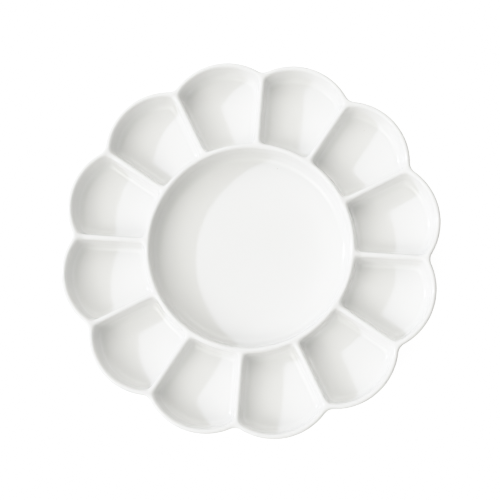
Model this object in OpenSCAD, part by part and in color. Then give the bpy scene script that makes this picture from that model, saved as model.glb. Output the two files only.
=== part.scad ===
// Flower-shaped porcelain mixing palette: a round centre well inside a ring of
// petal wells, all in one glazed shell that stands on a bare foot ring.
// The origin is the middle of the foot, and the foot's face is at z = 0.
// The shell is drawn as its regions, which meet face to face: the centre floor,
// the centre ring, the petal wells, the dividers between them, and the foot ring.

/* [Palette] */
// Diameter over the petal tips
palette_d = 200; // [180:5:240]
// Height from the table to the crests
palette_h = 20; // [18:0.5:24]
// Radius of a petal's outer edge
petal_r = 32.6; // [30:0.1:35]

/* [Wells] */
// Depth of the wells below the crests
well_depth = 12.5; // [10:0.5:14]
// Diameter of the centre ring, along the middle of its crest
centre_ring_d = 107.4; // [96:0.2:116]
// Radius where the centre well's wall curves into its floor
centre_fillet = 5; // [2:0.5:7]
// Radius where the petal wells' walls curve into their floors
petal_fillet = 3.5; // [1:0.5:4.5]

/* [Walls] */
// Width of the rounded crests
crest_w = 2.8; // [2:0.1:4]
// How much lower the dividers' crests are than the ring's and the rim's
divider_drop = 0.8; // [0.2:0.1:1.5]
// Lean of the walls inside the wells, in degrees
inner_draft = 8; // [3:1:10]
// Lean of the outside wall, in towards the foot, in degrees
outer_draft = 5; // [1:1:8]
// Radius where the outside wall turns under the palette
under_round = 6; // [2:0.5:8]

/* [Foot] */
// Diameter of the foot ring, along its middle
foot_d = 135; // [125:1:150]
// Width of the foot ring where it leaves the underside
foot_w = 6; // [4:0.5:8]
// Height of the foot ring
foot_h = 2.5; // [1.5:0.5:3.5]
// Radius of the foot ring's lower edges
foot_round = 1; // [0.5:0.1:1.4]

/* [Hidden] */
$fn = 96;
petals = 12;
step = 360 / petals;
glaze = [0.95, 0.95, 0.93];
bisque = [0.88, 0.85, 0.79];

// How far shapes that meet smoothly are sunk into each other, so that they join
sink = 0.02;

// How far the hidden part of a fillet stays back from the flat floor's edge
tuck = 0.2;

// Heights
under_z = foot_h;
floor_z = palette_h - well_depth;
crest_r = crest_w / 2;
crest_z = palette_h - crest_r;
divider_z = crest_z - divider_drop;

// A wall is measured sideways from the middle of its crest. wall_foot is where
// its inner face meets the floor, and wall_reach where the flat floor begins.
wall_foot = crest_r * cos(inner_draft)
    + (crest_z + crest_r * sin(inner_draft) - floor_z) * tan(inner_draft);
function wall_reach(fillet) = wall_foot + fillet * tan((90 - inner_draft) / 2);

// Plan of the palette
ring_r = centre_ring_d / 2;
centre_floor_r = ring_r - wall_reach(centre_fillet);
petal_floor_start = ring_r + wall_reach(petal_fillet);
petal_centre = palette_d / 2 - petal_r;
crest_line = petal_r - crest_r;

// A divider ends here, in between its two petals' outside walls where they meet
divider_end = petal_centre * cos(step / 2)
    + sqrt(pow(crest_line - crest_r / 2, 2) - pow(petal_centre * sin(step / 2), 2));

// Half the width of the strip of floor that belongs to a divider
strip_margin = 0.5;
strip = wall_foot + strip_margin;

// Where the straight faces of a wall leave its round crest
inside_top = [0, crest_z] + (crest_r - sink) * [cos(inner_draft), sin(inner_draft)];
outside_top = [0, crest_z] + (crest_r - sink) * [cos(outer_draft), -sin(outer_draft)];

// The outside wall's lower corner, which is rounded
outside_corner = [outside_top.x - (outside_top.y - under_z) * tan(outer_draft), under_z];
round_reach = under_round * tan((90 - outer_draft) / 2);

// Sizes of the shapes that only cut
far = palette_d;
spare = 1;

function two_digits(n) = n < 10 ? str("0", n) : str(n);

// Section: the curve that fills the corner between a leaning wall and the floor,
// with some of the wall and the floor behind it
module floor_fillet(fillet) {
    reach = wall_reach(fillet);
    along = reach - wall_foot;
    behind = crest_r / 2;
    touch_z = floor_z + along * cos(inner_draft);
    difference() {
        polygon([
            [behind, floor_z - spare],
            [reach - tuck, floor_z - spare],
            [reach, floor_z + fillet],
            [wall_foot - along * sin(inner_draft), touch_z],
            [behind, touch_z]
        ]);
        translate([reach, floor_z + fillet]) circle(fillet + sink);
    }
}

// Section: the centre ring's wall, with the centre well on its left
module ring_wall() {
    polygon([
        [-wall_reach(centre_fillet), under_z],
        [wall_reach(petal_fillet), under_z],
        [wall_reach(petal_fillet), floor_z],
        [wall_foot, floor_z],
        inside_top,
        [0, crest_z],
        [-inside_top.x, inside_top.y],
        [-wall_foot, floor_z],
        [-wall_reach(centre_fillet), floor_z]
    ]);
    floor_fillet(petal_fillet);
    mirror([1, 0]) floor_fillet(centre_fillet);
    translate([0, crest_z]) circle(crest_r);
}

module ring_solid() {
    rotate_extrude() translate([ring_r, 0]) ring_wall();
}

// Section: what the rounded lower edge leaves out of the outside wall's corner
module under_corner() {
    reach = under_round + spare;
    middle = [outside_corner.x - round_reach, under_z + under_round];
    difference() {
        polygon([
            middle,
            middle + reach * [cos(outer_draft), -sin(outer_draft)],
            middle + reach * [1, -1],
            middle + reach * [0, -1]
        ]);
        translate(middle) circle(under_round + sink);
    }
}

// A whole round dish, whose outer part is a petal
module petal_dish() {
    crest = [crest_line, 0];
    translate([petal_centre, 0]) rotate_extrude() {
        difference() {
            polygon([
                [0, under_z],
                crest + outside_corner,
                crest + outside_top,
                [crest_line, crest_z],
                [crest_line - inside_top.x, inside_top.y],
                [crest_line - wall_foot, floor_z],
                [0, floor_z]
            ]);
            translate(crest) under_corner();
        }
        translate(crest) mirror([1, 0]) floor_fillet(petal_fillet);
        translate([crest_line, crest_z]) circle(crest_r);
    }
}

// The part of a neighbouring dish on one side of a divider's line
module side_dish() {
    intersection() {
        rotate(step / 2) petal_dish();
        cube([far, strip, palette_h + spare]);
    }
}

// A straight wall along +X, from inside the ring's wall to inside the rim
module divider_bar() {
    bottom = floor_z - spare;
    top = [inside_top.x, inside_top.y - divider_drop];
    foot = top.x + (top.y - bottom) * tan(inner_draft);
    translate([ring_r, 0, 0]) rotate([90, 0, 90]) linear_extrude(divider_end - ring_r) {
        polygon([[-foot, bottom], [foot, bottom], top, [-top.x, top.y]]);
        translate([0, divider_z]) circle(crest_r);
    }
}

module centre_floor() {
    color(glaze) translate([0, 0, under_z])
        cylinder(h = floor_z - under_z, r = centre_floor_r);
}

module centre_ring() {
    color(glaze) ring_solid();
}

// Floor and outside wall of one petal well, between the strips of its dividers
module petal_well(n) {
    apex = strip / sin(step / 2);
    spread = far * tan(step / 2);
    color(glaze) rotate((n - 1) * step) difference() {
        intersection() {
            petal_dish();
            linear_extrude(palette_h + spare) translate([apex, 0])
                polygon([[0, 0], [far, -spread], [far, spread]]);
        }
        cylinder(h = palette_h + spare, r = petal_floor_start);
    }
}

// A straight wall from the centre ring out to the notch between two petals, with
// the strip of floor that it stands on and the ends of both petals' outside walls
module divider(n) {
    color(glaze) rotate((n - 0.5) * step) {
        difference() {
            divider_bar();
            ring_solid();
        }
        difference() {
            for (side = [0, 1]) mirror([0, side, 0]) side_dish();
            cylinder(h = palette_h + spare, r = petal_floor_start);
        }
    }
}

// Unglazed ring that the palette stands on
module foot_ring() {
    half = foot_w / 2;
    flat = half - foot_round;
    color(bisque) rotate_extrude() translate([foot_d / 2, 0]) {
        translate([-flat, 0]) square([2 * flat, foot_h]);
        translate([-half, foot_round]) square([foot_w, foot_h - foot_round]);
        translate([-flat, foot_round]) circle(foot_round);
        translate([flat, foot_round]) circle(foot_round);
    }
}

centre_floor();
centre_ring();
foot_ring();
for (n = [1 : petals]) {
    petal_well(n);
    divider(n);
}
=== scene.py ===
# Flower-shaped porcelain mixing palette: one glazed body and its bare foot ring.
# Lengths in the shape functions are millimetres; meshes, lights and camera are metres.
import math

import bmesh
import bpy
import numpy as np
from mathutils import Matrix, Vector


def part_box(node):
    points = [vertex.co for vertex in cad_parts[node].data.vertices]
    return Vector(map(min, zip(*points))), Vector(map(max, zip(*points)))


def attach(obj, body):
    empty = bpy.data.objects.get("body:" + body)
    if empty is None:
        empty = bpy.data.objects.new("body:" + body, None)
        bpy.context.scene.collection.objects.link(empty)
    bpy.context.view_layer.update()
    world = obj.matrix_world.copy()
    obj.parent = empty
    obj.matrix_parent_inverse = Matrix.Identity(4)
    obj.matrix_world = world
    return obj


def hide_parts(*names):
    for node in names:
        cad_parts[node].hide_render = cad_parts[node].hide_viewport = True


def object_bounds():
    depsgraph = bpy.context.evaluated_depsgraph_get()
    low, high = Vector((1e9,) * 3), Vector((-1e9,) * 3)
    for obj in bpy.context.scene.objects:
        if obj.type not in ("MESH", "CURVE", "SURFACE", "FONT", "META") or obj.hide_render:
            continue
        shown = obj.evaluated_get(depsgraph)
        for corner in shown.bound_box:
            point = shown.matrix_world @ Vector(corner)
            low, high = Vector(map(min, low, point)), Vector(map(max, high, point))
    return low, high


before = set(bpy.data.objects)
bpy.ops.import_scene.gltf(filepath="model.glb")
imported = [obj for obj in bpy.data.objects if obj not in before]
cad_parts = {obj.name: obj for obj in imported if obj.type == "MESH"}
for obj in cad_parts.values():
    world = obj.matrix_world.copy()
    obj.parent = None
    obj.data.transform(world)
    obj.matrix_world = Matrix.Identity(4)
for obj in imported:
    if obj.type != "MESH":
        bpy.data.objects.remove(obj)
cad_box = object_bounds()

MM = 0.001

# ---- sizes taken from the frame -------------------------------------------------------
palette_r = cad_box[1].x / MM
palette_h = cad_box[1].z / MM
under_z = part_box("foot_ring")[1].z / MM
floor_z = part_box("centre_floor")[1].z / MM
foot_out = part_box("foot_ring")[1].x / MM
centre_floor_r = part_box("centre_floor")[1].x / MM

# ---- driving dimensions of the porcelain ----------------------------------------------
PETALS = 12
PETAL_R = 32.6          # outer edge of a petal
NOTCH_R = 5.9           # outward curve in the notch between two petals
CREST_R = 1.4           # half the width of the rounded crests
INNER_DRAFT = math.radians(8)
OUTER_DRAFT = math.radians(5)
PETAL_FILLET = 3.5      # where a petal well's wall curves into its floor
CENTRE_FILLET = 5.0
UNDER_ROUND = 6.0       # where the outside wall turns under
CORNER_BLEND = 5.0      # how widely two walls run into each other in a well's corner
PETAL_DISH = 0.55       # how much a well's floor falls away from its edge
CENTRE_DISH = 1.2
DISH_START = 1.0        # how far up the curve it begins to fall
DISH_REACH = 7.0        # how quickly it falls
FOOT_W = 6.0
FOOT_FILLET = 0.8
GLAZE_LINE = 1.25       # height of the glaze's edge on the foot, before its rounded lip
GLAZE_THICK = 0.25
GLAZE_WAVE = 0.05
BARE_ROUND = 0.9        # rounded edges of the bare ring
BARE_TOP = 1.9          # its top, inside the body
SEAT = 0.3              # how far up the body's bare seat for it is from the glaze's edge
UNDER_DOME = 0.3        # how much the underside rises to its middle
DIVIDER_DROP = 0.8      # how much lower the dividers' crests are
DIP_REACH = 5.0         # how long a divider's crest takes to come down
WELL_MIDDLE = 78.0      # the point that a petal well's rows close in on
WAVER = 0.09            # uneven height of the fired shape
SWELL = 0.0009          # its uneven width, as a share

# ---- gathered glaze and painted shade in the curves, from 0 to 1 ----------------------
GLAZE_SHADE_UP = 0.4           # how far up the curve the most is, as a share of its radius
GLAZE_SHADE_WIDTH = 0.45
FLOOR_GLAZE_SHADE = 0.3
FOOT_GLAZE_SHADE = 0.5
LIP_GLAZE_SHADE = 0.3
UNDER_GLAZE_SHADE = 0.1

# ---- mesh steps -----------------------------------------------------------------------
NOTCH_STEPS = 7
PETAL_STEPS = 26
RIM_STEPS = 2 * NOTCH_STEPS + PETAL_STEPS
DIVIDER_STEPS = 24
RING_STEPS = 18
CREST_STEPS = 8
WALL_STEPS = 5
PETAL_CURVE_STEPS = 8
CENTRE_CURVE_STEPS = 10
PETAL_FLOOR_ROWS = (0.8, 1.8, 3.0)      # their distances from the curve
PETAL_MIDDLE_STEPS = 9
CENTRE_FLOOR_STEPS = 14
OUTER_CREST_STEPS = 10
OUTER_WALL_STEPS = 5
UNDER_ROUND_STEPS = 9
UNDER_STEPS = 8
INNER_UNDER_STEPS = 12
FOOT_CURVE_STEPS = 5
BARE_EDGE_STEPS = 6
BARE_FLAT_STEPS = 6
BARE_TOP_STEPS = 4
SEARCH_STEPS = 40
SEARCH_REACH = 0.85     # share of the way to the well's middle that is searched
WELD = 2e-6

# ---- finishes: where there are two colours, the surface wanders between them ----------
PORCELAIN = ((0.785, 0.784, 0.778), (0.806, 0.806, 0.802))
# painted shade: this thick-glaze colour also darkens the curves at the walls' feet and the
# wells' floors, where shade falls
THICK_GLAZE_AND_SHADE = (0.715, 0.728, 0.705)
GLAZE_AND_SHADE_SHARE = 0.42   # how far its colour shows where most glaze and painted shade gather
SPECK_COLOUR = (0.42, 0.38, 0.33)
SPECK_SPACING = 19      # millimetres from one faint speck to the next
BARE_CLAY = ((0.74, 0.69, 0.60), (0.83, 0.79, 0.71))
RUBBED_CLAY = (0.60, 0.56, 0.50)
FLOOR_WHITE = ((0.93, 0.93, 0.93), (0.95, 0.95, 0.95))
BACKDROP_WHITE = ((0.98, 0.98, 0.98), (1, 1, 1))
GLAZE_IOR = 1.5
NOISE_SPREAD = (0.3, 0.7)       # the values that most of the noise lies between

# ---- studio ---------------------------------------------------------------------------
FLOOR_HALF = 3.0
FLOOR_STEPS = 24
FLOOR_GLOW = 0.6
FLOOR_GAP = 0.05        # keeps the floor just clear of the foot's face
BACKDROP_R = 6.0
BACKDROP_GLOW = 0.95
EVEN_LIGHT = 0.04
LOBES = [               # azimuth, elevation, sharpness, strength
    (0, 90, 1, 0.17),
    (197, 40, 40, 4.6),
    (117, 40, 40, 1.2),
    (237, 45, 12, 1.4),
    (77, 45, 12, 1.5),
    (0, -90, 2, 0.45),
]
SURROUND_COLOUR = (1.0, 0.997, 0.95)
KEY_AZIMUTH = 159.0
KEY_ELEVATION = 29.2
KEY_DISTANCE = 5.0
KEY_SIZE = 0.22
KEY_POWER = 63.0
KEY_COLOUR = (0.965, 1.0, 1.15)
SHOULDER = 2.5          # how softly the picture's brightest tones run into white
SHOULDER_POINTS = 7

# ---- camera ---------------------------------------------------------------------------
AIM_OFFSET = (0.00016, -0.00177, 0.0)
VIEW_AZIMUTH = -71.405
VIEW_ELEVATION = 80.755
VIEW_DISTANCE = 0.67575
VIEW_ROLL = -10.788
VIEW_ANGLE = 21.70

half_step = math.pi / PETALS
crest_z = palette_h - CREST_R
wall_foot = (CREST_R * math.cos(INNER_DRAFT)
             + (crest_z + CREST_R * math.sin(INNER_DRAFT) - floor_z) * math.tan(INNER_DRAFT))


def wall_reach(fillet):
    """How far from the middle of a crest the flat floor begins."""
    return wall_foot + fillet * math.tan((math.pi / 2 - INNER_DRAFT) / 2)


ring_r = centre_floor_r + wall_reach(CENTRE_FILLET)
petal_centre = np.array([palette_r - PETAL_R, 0.0])
crest_line = PETAL_R - CREST_R
notch_line = NOTCH_R + CREST_R
side_offset = petal_centre[0] * math.sin(half_step)
notch_r = (petal_centre[0] * math.cos(half_step)
           + math.sqrt((PETAL_R + NOTCH_R) ** 2 - side_offset ** 2))
notch_half_angle = math.asin(side_offset / (PETAL_R + NOTCH_R))
notch = notch_r * np.array([math.cos(half_step), math.sin(half_step)])


# ---- profiles -------------------------------------------------------------------------
def inner_profile(d, fillet, dish):
    """Height of a well's surface at the distance d from the middle of its crest."""
    d = np.maximum(np.asarray(d, float), 0.0)
    touch = CREST_R * math.cos(INNER_DRAFT)
    reach = wall_reach(fillet)
    fillet_top = reach - fillet * math.cos(INNER_DRAFT)
    crest = crest_z + np.sqrt(np.maximum(CREST_R ** 2 - np.minimum(d, touch) ** 2, 0))
    wall = crest_z + CREST_R * math.sin(INNER_DRAFT) - (d - touch) / math.tan(INNER_DRAFT)
    inside = np.clip(reach - d, 0, fillet)
    curve = floor_z + fillet - np.sqrt(np.maximum(fillet ** 2 - inside ** 2, 0))
    z = np.where(d < touch, crest, np.where(d < fillet_top, wall, curve))
    past = np.maximum(d - reach + DISH_START, 0)
    return z - dish * (1 - np.exp(-(past / DISH_REACH) ** 2))


def inner_levels(fillet, fillet_steps):
    """Distances from the crest's middle for the rows of vertices down a well's wall."""
    touch = CREST_R * math.cos(INNER_DRAFT)
    reach = wall_reach(fillet)
    top_angle = math.pi / 2 - INNER_DRAFT
    crest = CREST_R * np.sin(np.linspace(0, top_angle, CREST_STEPS + 1)[1:])
    fillet_top = reach - fillet * math.cos(INNER_DRAFT)
    wall = np.linspace(touch, fillet_top, WALL_STEPS + 1)[1:]
    curve = reach - fillet * np.sin(np.linspace(top_angle, 0, fillet_steps + 1)[1:])
    return np.concatenate([crest, wall, curve])


def smooth_min(a, b, k):
    """The smaller of two distances, with the crease between them rounded off."""
    h = np.maximum(k - np.abs(a - b), 0) / k
    return np.minimum(a, b) - h ** 3 * k / 6


def rim_distance(p):
    """Distance inwards from the crest line of the scalloped rim, for points in petal 1."""
    q = np.column_stack([p[:, 0], np.abs(p[:, 1])])
    from_notch = q - notch
    reach = np.hypot(from_notch[:, 0], from_notch[:, 1])
    towards_axis = -notch / np.hypot(*notch)
    facing = from_notch @ towards_axis / np.maximum(reach, 1e-9)
    from_centre = q - petal_centre
    petal = crest_line - np.hypot(from_centre[:, 0], from_centre[:, 1])
    return np.where(facing >= math.cos(notch_half_angle), reach - notch_line, petal)


def well_distance(p):
    """Blended distance from the crests round petal 1's well."""
    divider = p[:, 0] * math.sin(half_step) - np.abs(p[:, 1]) * math.cos(half_step)
    ring = np.hypot(p[:, 0], p[:, 1]) - ring_r
    outer = smooth_min(divider, rim_distance(p), CORNER_BLEND)
    return smooth_min(outer, ring, CORNER_BLEND)


# ---- a mesh that grows by rows of vertices --------------------------------------------
class Shell:
    """Collects rows of vertices and the faces between them, and welds where rows meet."""

    def __init__(self):
        self.points, self.pools, self.faces, self.count = [], [], [], 0

    def row(self, points, pool=0.0):
        first = self.count
        self.points.append(points)
        self.pools.append(np.broadcast_to(pool, (len(points),)).astype(float))
        self.count += len(points)
        return range(first, self.count)

    def band(self, row_a, row_b):
        """Faces between two closed rows; they face up where row_a is the outer one."""
        n = len(row_a)
        for i in range(n):
            j = (i + 1) % n
            self.faces.append((row_a[i], row_a[j], row_b[j], row_b[i]))

    def fan(self, row, middle):
        """Faces from a closed row to the one vertex in its middle, facing up."""
        for i in range(len(row)):
            self.faces.append((row[i], row[(i + 1) % len(row)], middle[0]))

    def build(self, name):
        mesh = bpy.data.meshes.new(name)
        points = uneven(np.vstack(self.points)) * MM
        mesh.from_pydata(points.tolist(), [], self.faces)
        # the mask of thicker glaze and painted shade in the curves, handed to the material
        pool = mesh.attributes.new("pool", "FLOAT", "POINT")
        pool.data.foreach_set("value", np.concatenate(self.pools))
        welded = bmesh.new()
        welded.from_mesh(mesh)
        bmesh.ops.remove_doubles(welded, verts=welded.verts, dist=WELD)
        welded.to_mesh(mesh)
        welded.free()
        mesh.polygons.foreach_set("use_smooth", [True] * len(mesh.polygons))
        piece = bpy.data.objects.new(name, mesh)
        bpy.context.scene.collection.objects.link(piece)
        return piece


def uneven(p):
    """The slow waver of a fired shape: a tenth of a millimetre, and none at the table."""
    angle = np.arctan2(p[:, 1], p[:, 0])
    reach = np.hypot(p[:, 0], p[:, 1]) / palette_r
    height = np.clip(p[:, 2] / palette_h, 0, 1)
    around = np.sin(2 * angle + 0.7) + 0.7 * np.sin(5 * angle + 2.1)
    swell = 1 + SWELL * reach ** 2 * height * around
    ripple = np.sin(0.11 * p[:, 0] + 1.3) * np.sin(0.13 * p[:, 1] + 0.4)
    lift = WAVER * height * (reach * np.sin(3 * angle + 1.9) + 0.6 * ripple)
    return np.column_stack([p[:, 0] * swell, p[:, 1] * swell, p[:, 2] + lift])


def turned(points, angle):
    c, s = math.cos(angle), math.sin(angle)
    x = points[:, 0] * c - points[:, 1] * s
    y = points[:, 0] * s + points[:, 1] * c
    return np.column_stack([x, y, points[:, 2]])


def at_height(plan, z):
    return np.column_stack([plan, np.broadcast_to(z, (len(plan),))])


def all_round(sector):
    """One petal's share of a row, without its last point, repeated for every petal."""
    return np.vstack([turned(sector[:-1], 2 * half_step * n) for n in range(PETALS)])


# ---- crest lines of petal 1 -----------------------------------------------------------
def eased(n):
    """n steps from 0 to 1, closer together towards both ends."""
    t = np.linspace(0, 1, n + 1)
    return t / 2 + (1 - np.cos(math.pi * t)) / 4


def ring_crest():
    angle = half_step * (2 * eased(RING_STEPS) - 1)
    return ring_r * np.column_stack([np.cos(angle), np.sin(angle)])


def rim_crest():
    """The rim's crest line across petal 1 and its outward normals, from -Y to +Y."""
    start = math.pi + half_step
    around = start + notch_half_angle * np.linspace(0, 1, NOTCH_STEPS + 1)
    inwards = np.column_stack([np.cos(around), np.sin(around)])
    upper = notch + notch_line * inwards
    edge = math.atan2(*(notch - petal_centre)[::-1])
    along = np.linspace(-edge, edge, PETAL_STEPS + 1)
    outwards = np.column_stack([np.cos(along), np.sin(along)])
    line = np.vstack([(upper * [1, -1])[:-1],
                      petal_centre + crest_line * outwards,
                      upper[::-1][1:]])
    normal = np.vstack([(-inwards * [1, -1])[:-1], outwards, -inwards[::-1][1:]])
    return line, normal


def well_crest():
    """The closed crest line round petal 1's well, anticlockwise."""
    rim = rim_crest()[0]
    ring = ring_crest()
    share = eased(DIVIDER_STEPS)[:, None]
    inward = rim[-1] + share * (ring[-1] - rim[-1])
    outward = ring[0] + share * (rim[0] - ring[0])
    return np.vstack([rim[:-1], inward[:-1], ring[::-1][:-1], outward[:-1]])


def well_row(loop, middle, level):
    """Where the lines from the loop to the well's middle reach this distance."""
    low, high = np.zeros(len(loop)), np.full(len(loop), SEARCH_REACH)
    for _ in range(SEARCH_STEPS):
        t = (low + high) / 2
        deep = well_distance(loop + t[:, None] * (middle - loop)) > level
        low, high = np.where(deep, low, t), np.where(deep, t, high)
    return loop + high[:, None] * (middle - loop)


def glaze_and_shade_at(d, fillet):
    """How much glaze has gathered, darkened further as painted shade: most in the curve at the
    foot of a wall.
    """
    reach = wall_reach(fillet)
    curve = np.exp(-((d - reach + GLAZE_SHADE_UP * fillet) / (GLAZE_SHADE_WIDTH * fillet)) ** 2)
    floor = FLOOR_GLAZE_SHADE * np.clip((d - reach) / fillet + 0.5, 0, 1)
    return np.clip(np.maximum(curve, floor), 0, 1)


def well_height(plan):
    """Petal 1's surface, with its dividers' crests a little lower than the rest."""
    d = well_distance(plan)
    z = inner_profile(d, PETAL_FILLET, PETAL_DISH)
    ends = np.minimum(np.hypot(plan[:, 0], plan[:, 1]) - ring_r, rim_distance(plan))
    t = np.clip(ends / DIP_REACH, 0, 1)
    dip = DIVIDER_DROP * t * t * (3 - 2 * t)
    return z - dip * np.clip((z - floor_z) / (palette_h - floor_z), 0, 1), d


# ---- the glazed body ------------------------------------------------------------------
def petal_wells(shell):
    loop = well_crest()
    middle = np.array([WELL_MIDDLE, 0.0])
    levels = np.concatenate([inner_levels(PETAL_FILLET, PETAL_CURVE_STEPS),
                             wall_reach(PETAL_FILLET) + np.array(PETAL_FLOOR_ROWS)])
    plans = [loop] + [well_row(loop, middle, level) for level in levels]
    last = plans[-1]
    plans += [last + t * (middle - last)
              for t in np.linspace(0, 1, PETAL_MIDDLE_STEPS + 1)[1:-1]]
    plans.append(middle[None, :])
    for n in range(PETALS):
        rows = []
        for plan in plans:
            z, d = well_height(plan)
            points = turned(at_height(plan, z), 2 * half_step * n)
            rows.append(shell.row(points, glaze_and_shade_at(d, PETAL_FILLET)))
        for outer, inner in zip(rows[:-2], rows[1:-1]):
            shell.band(outer, inner)
        shell.fan(rows[-2], rows[-1])


def centre_well(shell):
    crest = all_round(at_height(ring_crest(), palette_h))
    levels = inner_levels(CENTRE_FILLET, CENTRE_CURVE_STEPS)
    floor = centre_floor_r * (1 - np.linspace(0, 1, CENTRE_FLOOR_STEPS + 1)[1:-1])
    levels = np.concatenate([[0], levels, ring_r - floor])
    rows = []
    for level in levels:
        plan = crest[:, :2] * (ring_r - level) / ring_r
        z = inner_profile(np.full(len(plan), level), CENTRE_FILLET, CENTRE_DISH)
        rows.append(shell.row(at_height(plan, z), glaze_and_shade_at(level, CENTRE_FILLET)))
    for outer, inner in zip(rows[:-1], rows[1:]):
        shell.band(outer, inner)
    middle = inner_profile([ring_r], CENTRE_FILLET, CENTRE_DISH)
    shell.fan(rows[-1], shell.row(at_height(np.zeros((1, 2)), middle), FLOOR_GLAZE_SHADE))


def outer_profile():
    """Steps outwards from the crest line, with heights, down to the flat underside."""
    over = np.linspace(0, math.pi / 2 + OUTER_DRAFT, OUTER_CREST_STEPS + 1)
    crest = np.column_stack([CREST_R * np.sin(over), crest_z + CREST_R * np.cos(over)])
    top = crest[-1]
    corner = top[0] - (top[1] - under_z) * math.tan(OUTER_DRAFT)
    centre = np.array([corner - UNDER_ROUND * math.tan((math.pi / 2 - OUTER_DRAFT) / 2),
                       under_z + UNDER_ROUND])
    turn = np.linspace(-OUTER_DRAFT, -math.pi / 2, UNDER_ROUND_STEPS + 1)
    under = centre + UNDER_ROUND * np.column_stack([np.cos(turn), np.sin(turn)])
    share = np.linspace(0, 1, OUTER_WALL_STEPS + 1)[1:-1, None]
    wall = top + share * (under[0] - top)
    return np.vstack([crest, wall, under])


def foot_profile(side, r):
    """A side of the foot ring, as radius and height: its curve, then the glaze's lip."""
    turn = np.linspace(0, math.pi / 2, FOOT_CURVE_STEPS + 1)
    curve = np.column_stack([r + side * FOOT_FILLET * (1 - np.sin(turn)),
                             under_z - FOOT_FILLET * (1 - np.cos(turn))])
    turn = np.linspace(0, math.pi * 0.75, FOOT_CURVE_STEPS + 1)
    lip = np.column_stack([r - side * GLAZE_THICK * (1 - np.cos(turn)),
                           GLAZE_LINE - GLAZE_THICK * np.sin(turn)])
    return curve, lip


def foot_row(r, z, wave):
    angle = half_step * (2 * np.linspace(0, 1, RIM_STEPS + 1) - 1)
    row = all_round(np.column_stack([r * np.cos(angle), r * np.sin(angle),
                                     np.full(len(angle), z)]))
    around = np.arctan2(row[:, 1], row[:, 0])
    row[:, 2] += wave * (np.sin(9 * around + 0.5) + 0.6 * np.sin(23 * around + 1.7))
    return row


def outside(shell):
    line, normal = rim_crest()
    rows = [shell.row(all_round(at_height(line + u * normal, z)), 0.0)
            for u, z in outer_profile()]
    outline = line + outer_profile()[-1][0] * normal
    angle = half_step * (2 * np.linspace(0, 1, RIM_STEPS + 1) - 1)
    circle = np.column_stack([np.cos(angle), np.sin(angle)]) * (foot_out + FOOT_FILLET)
    for t in np.linspace(0, 1, UNDER_STEPS + 1)[1:-1]:
        plan = outline + t * (circle - outline)
        rows.append(shell.row(all_round(at_height(plan, under_z)), UNDER_GLAZE_SHADE))
    foot_in = foot_out - FOOT_W
    out_curve, out_lip = foot_profile(1, foot_out)
    in_curve, in_lip = foot_profile(-1, foot_in)
    waves = np.linspace(0, GLAZE_WAVE, len(out_lip))
    # painted shade, with some thicker glaze, in the curve where the foot meets the underside
    section = [(r, z, 0.0, FOOT_GLAZE_SHADE) for r, z in out_curve]
    section += [(r, z, w, LIP_GLAZE_SHADE) for (r, z), w in zip(out_lip, waves)]
    section += [(foot_out - FOOT_W * t, GLAZE_LINE + SEAT, 0.0, 0.0) for t in (0.2, 0.5, 0.8)]
    section += [(r, z, w, LIP_GLAZE_SHADE) for (r, z), w in zip(in_lip[::-1], waves[::-1])]
    section += [(r, z, 0.0, FOOT_GLAZE_SHADE) for r, z in in_curve[::-1]]
    inner_r = foot_in - FOOT_FILLET
    for t in np.linspace(0, 1, INNER_UNDER_STEPS + 1)[1:-1]:
        rise = UNDER_DOME * t * (2 - t)
        section.append((inner_r * (1 - t), under_z + rise, 0.0, UNDER_GLAZE_SHADE))
    rows += [shell.row(foot_row(r, z, w), pool) for r, z, w, pool in section]
    for upper, lower in zip(rows[:-1], rows[1:]):
        shell.band(lower, upper)
    middle = shell.row(np.array([[0.0, 0.0, under_z + UNDER_DOME]]), UNDER_GLAZE_SHADE)
    shell.fan(rows[-1][::-1], middle)


def bare_ring(shell):
    """The unglazed ring that it stands on: flat below, with rounded edges."""
    half = FOOT_W / 2 - GLAZE_THICK
    middle = foot_out - FOOT_W / 2
    turn = np.linspace(0, math.pi / 2, BARE_EDGE_STEPS + 1)
    edge = np.column_stack([half - BARE_ROUND * (1 - np.cos(turn)),
                            BARE_ROUND * (1 - np.sin(turn))])
    across = np.linspace(edge[-1][0], -edge[-1][0], BARE_FLAT_STEPS + 1)[1:-1]
    top = np.linspace(-half, half, BARE_TOP_STEPS + 1)
    section = np.vstack([edge,
                         np.column_stack([across, np.zeros(len(across))]),
                         (edge * [-1, 1])[::-1],
                         np.column_stack([top, np.full(len(top), BARE_TOP)])])
    rows = [shell.row(foot_row(middle + x, z, 0.0), 0.0) for x, z in section]
    for i, row in enumerate(rows):
        shell.band(rows[(i + 1) % len(rows)], row)


glaze_shell = Shell()
petal_wells(glaze_shell)
centre_well(glaze_shell)
outside(glaze_shell)
glazed_body = glaze_shell.build("glazed_body")

foot_shell = Shell()
bare_ring(foot_shell)
bare_foot = foot_shell.build("bare_foot")


# ---- materials ------------------------------------------------------------------------
def maths(tree, operation, a, b):
    """One step of arithmetic on an output, with another output or a plain number."""
    node = tree.nodes.new("ShaderNodeMath")
    node.operation = operation
    tree.links.new(a, node.inputs[0])
    if isinstance(b, (int, float)):
        node.inputs[1].default_value = b
    else:
        tree.links.new(b, node.inputs[1])
    return node.outputs["Value"]


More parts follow.
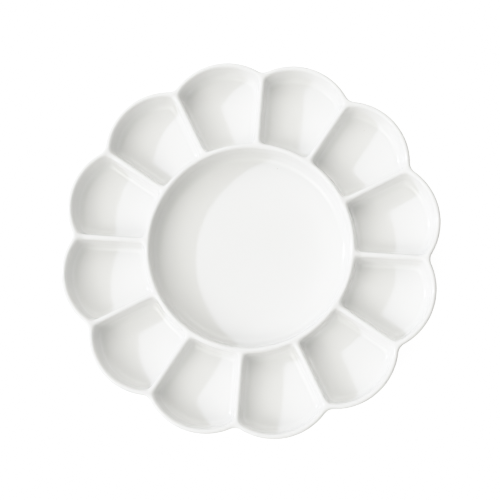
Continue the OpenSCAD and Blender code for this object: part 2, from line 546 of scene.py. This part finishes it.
class Nodes:
    """A material's node tree, with one call for each kind of node used below."""

    def __init__(self, name):
        self.material = bpy.data.materials.new(name)
        self.material.use_nodes = True
        self.tree = self.material.node_tree
        self.shader = self.tree.nodes["Principled BSDF"]
        self.coordinates = self.tree.nodes.new("ShaderNodeTexCoord").outputs["Object"]

    def link(self, output, node, socket):
        self.tree.links.new(output, node.inputs[socket])

    def noise(self, size_mm, detail, roughness=0.5):
        node = self.tree.nodes.new("ShaderNodeTexNoise")
        node.inputs["Scale"].default_value = 1 / (size_mm * MM)
        node.inputs["Detail"].default_value = detail
        node.inputs["Roughness"].default_value = roughness
        self.link(self.coordinates, node, "Vector")
        return node.outputs["Fac"]

    def cells(self, size_mm):
        node = self.tree.nodes.new("ShaderNodeTexVoronoi")
        node.inputs["Scale"].default_value = 1 / (size_mm * MM)
        self.link(self.coordinates, node, "Vector")
        return node.outputs["Distance"]

    def attribute(self, name):
        node = self.tree.nodes.new("ShaderNodeAttribute")
        node.attribute_name = name
        return node.outputs["Fac"]

    def remap(self, value, low, high, to_low, to_high):
        node = self.tree.nodes.new("ShaderNodeMapRange")
        for socket, number in zip(("From Min", "From Max", "To Min", "To Max"),
                                  (low, high, to_low, to_high)):
            node.inputs[socket].default_value = number
        self.link(value, node, "Value")
        return node.outputs["Result"]

    def cloud(self, size_mm, detail, low, high):
        """Noise with blotches of this size, spread between two values."""
        return self.remap(self.noise(size_mm, detail), *NOISE_SPREAD, low, high)

    def mix(self, factor, a, b):
        """A colour between a and b; either may be a plain colour or an output."""
        node = self.tree.nodes.new("ShaderNodeMix")
        node.data_type = "RGBA"
        self.link(factor, node, "Factor")
        for slot, colour in ((6, a), (7, b)):
            if isinstance(colour, tuple):
                node.inputs[slot].default_value = (*colour, 1)
            else:
                self.link(colour, node, slot)
        return node.outputs[2]

    def bump(self, height, depth_mm, strength, under=None):
        node = self.tree.nodes.new("ShaderNodeBump")
        node.inputs["Strength"].default_value = strength
        node.inputs["Distance"].default_value = depth_mm * MM
        self.link(height, node, "Height")
        if under is not None:
            self.link(under, node, "Normal")
        return node.outputs["Normal"]


def glaze_material():
    """White porcelain under a clear glaze, greener and darker in the curves: partly thick glaze,
    partly painted shade.
    """
    m = Nodes("glazed_porcelain")
    body = m.mix(m.cloud(46, 3, 0, 1), *PORCELAIN)
    # painted shade: the mask darkens curves and corners as well as tinting the thick glaze
    pool = maths(m.tree, "MULTIPLY", m.attribute("pool"), m.cloud(14, 2, 0.7, 1))
    glaze_with_shade = m.mix(m.remap(pool, 0, 1, 0, GLAZE_AND_SHADE_SHARE), body, THICK_GLAZE_AND_SHADE)
    speck = m.remap(m.cells(SPECK_SPACING), 0.008, 0.014, 1, 0)
    m.link(m.mix(speck, glaze_with_shade, SPECK_COLOUR), m.shader, "Base Color")
    m.link(m.cloud(9, 4, 0.11, 0.18), m.shader, "Roughness")
    slow = m.bump(m.noise(17, 1), 0.35, 0.12)
    fine = m.bump(m.noise(2.4, 2), 0.03, 0.10, slow)
    m.link(m.bump(speck, -0.08, 0.6, fine), m.shader, "Normal")
    m.shader.inputs["IOR"].default_value = GLAZE_IOR
    return m.material


def bisque_material():
    """Bare fired clay: matt, finely grained, a little grey where it rubs on tables."""
    m = Nodes("bare_foot")
    clay = m.mix(m.cloud(7, 4, 0, 1), *BARE_CLAY)
    rubbed = m.mix(m.remap(m.noise(2.2, 5, 0.7), 0.5, 0.72, 0, 0.6), clay, RUBBED_CLAY)
    m.link(rubbed, m.shader, "Base Color")
    m.link(m.cloud(3, 3, 0.75, 0.92), m.shader, "Roughness")
    coarse = m.bump(m.noise(0.9, 4, 0.7), 0.10, 0.5)
    m.link(m.bump(m.noise(0.3, 3), 0.04, 0.5, coarse), m.shader, "Normal")
    return m.material


def floor_material():
    """A pale sheet that is seen from above, and seen through from below."""
    m = Nodes("pale_floor")
    below = m.tree.nodes.new("ShaderNodeNewGeometry").outputs["Backfacing"]
    m.link(m.remap(below, 0, 1, 1, 0), m.shader, "Alpha")
    m.link(m.mix(m.cloud(60, 4, 0, 1), *FLOOR_WHITE), m.shader, "Base Color")
    m.link(m.cloud(2, 3, 0.7, 0.8), m.shader, "Roughness")
    m.shader.inputs["Emission Color"].default_value = (1, 1, 1, 1)
    m.shader.inputs["Emission Strength"].default_value = FLOOR_GLOW
    return m.material


def backdrop_material():
    """A surface that only glows."""
    m = Nodes("pale_backdrop")
    m.link(m.mix(m.cloud(900, 2, 0, 1), *BACKDROP_WHITE), m.shader, "Emission Color")
    m.shader.inputs["Emission Strength"].default_value = BACKDROP_GLOW
    m.shader.inputs["Base Color"].default_value = (0, 0, 0, 1)
    m.shader.inputs["Roughness"].default_value = 1.0
    m.shader.inputs["Specular IOR Level"].default_value = 0.0
    return m.material


glazed_body.data.materials.append(glaze_material())
bare_foot.data.materials.append(bisque_material())

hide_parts("centre_floor", "centre_ring",
            *[name for name in sorted(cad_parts)
              if name.startswith(("petal_well_", "divider_"))])
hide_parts("foot_ring")
for piece in (glazed_body, bare_foot):
    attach(piece, "root")


# ---- floor, light and camera ----------------------------------------------------------
def make_stage(name, sheet, material):
    """A piece of the studio, from a bmesh: it neither lights nor shades the palette."""
    mesh = bpy.data.meshes.new(name)
    sheet.to_mesh(mesh)
    sheet.free()
    mesh.polygons.foreach_set("use_smooth", [True] * len(mesh.polygons))
    mesh.materials.append(material)
    piece = bpy.data.objects.new(name, mesh)
    bpy.context.scene.collection.objects.link(piece)
    piece.visible_diffuse = False
    piece.visible_shadow = False
    return piece


def make_floor():
    """A wide flat sheet under the palette."""
    sheet = bmesh.new()
    bmesh.ops.create_grid(sheet, x_segments=FLOOR_STEPS, y_segments=FLOOR_STEPS,
                          size=FLOOR_HALF)
    bmesh.ops.translate(sheet, verts=sheet.verts, vec=(0, 0, -FLOOR_GAP * MM))
    make_stage("floor", sheet, floor_material())


def make_backdrop():
    """A pale wall all round, which only the camera sees."""
    sheet = bmesh.new()
    bmesh.ops.create_icosphere(sheet, subdivisions=4, radius=BACKDROP_R)
    backdrop = make_stage("backdrop", sheet, backdrop_material())
    backdrop.visible_glossy = False
    backdrop.visible_transmission = False


def towards(azimuth, elevation):
    a, e = math.radians(azimuth), math.radians(elevation)
    return Vector((math.cos(e) * math.cos(a), math.cos(e) * math.sin(a), math.sin(e)))


def make_surround():
    """Soft studio light from all round: an even part and a few broad lobes."""
    world = bpy.data.worlds.new("studio")
    bpy.context.scene.world = world
    world.use_nodes = True
    tree = world.node_tree
    direction = tree.nodes.new("ShaderNodeTexCoord").outputs["Generated"]

    total = EVEN_LIGHT
    for azimuth, elevation, sharpness, strength in LOBES:
        dot = tree.nodes.new("ShaderNodeVectorMath")
        dot.operation = "DOT_PRODUCT"
        dot.inputs[1].default_value = towards(azimuth, elevation)
        tree.links.new(direction, dot.inputs[0])
        facing = maths(tree, "MAXIMUM", dot.outputs["Value"], 0.0)
        lobe = maths(tree, "MULTIPLY", maths(tree, "POWER", facing, sharpness), strength)
        total = maths(tree, "ADD", lobe, total)
    tree.links.new(total, tree.nodes["Background"].inputs["Strength"])
    tree.nodes["Background"].inputs["Color"].default_value = (*SURROUND_COLOUR, 1)


def make_key():
    """A small lamp low on the left, whose shadows have a soft but visible edge."""
    data = bpy.data.lights.new("key", "AREA")
    data.shape = "DISK"
    data.size = KEY_SIZE
    data.energy = KEY_POWER
    data.color = KEY_COLOUR
    key = bpy.data.objects.new("key", data)
    bpy.context.scene.collection.objects.link(key)
    key.location = towards(KEY_AZIMUTH, KEY_ELEVATION) * KEY_DISTANCE
    key.rotation_euler = key.location.to_track_quat("Z", "Y").to_euler()


def make_camera():
    data = bpy.data.cameras.new("camera")
    data.sensor_width = 36.0
    data.angle = math.radians(VIEW_ANGLE)
    data.clip_start, data.clip_end = 0.01, 50.0
    camera = bpy.data.objects.new("camera", data)
    bpy.context.scene.collection.objects.link(camera)
    low, high = cad_box
    aim = Vector(((low.x + high.x) / 2, (low.y + high.y) / 2, high.z)) + Vector(AIM_OFFSET)
    back = towards(VIEW_AZIMUTH, VIEW_ELEVATION)
    across = Vector((0, 1, 0)).cross(back).normalized()
    level = Matrix((across, back.cross(across), back)).transposed()
    camera.rotation_euler = (level @ Matrix.Rotation(math.radians(VIEW_ROLL), 3, "Z")).to_euler()
    camera.location = aim + back * VIEW_DISTANCE
    bpy.context.scene.camera = camera


def soften_whites():
    """A plain view of the picture's tones with a soft shoulder towards white."""
    view = bpy.context.scene.view_settings
    view.view_transform = "Standard"
    view.use_curve_mapping = True
    mapping = view.curve_mapping
    mapping.extend = "HORIZONTAL"
    curve = mapping.curves[3]
    for light in np.linspace(0, 1, SHOULDER_POINTS + 2)[1:-1]:
        curve.points.new(light, 1 - (1 - light) ** SHOULDER)
    mapping.update()


make_floor()
make_backdrop()
make_surround()
make_key()
make_camera()
soften_whites()
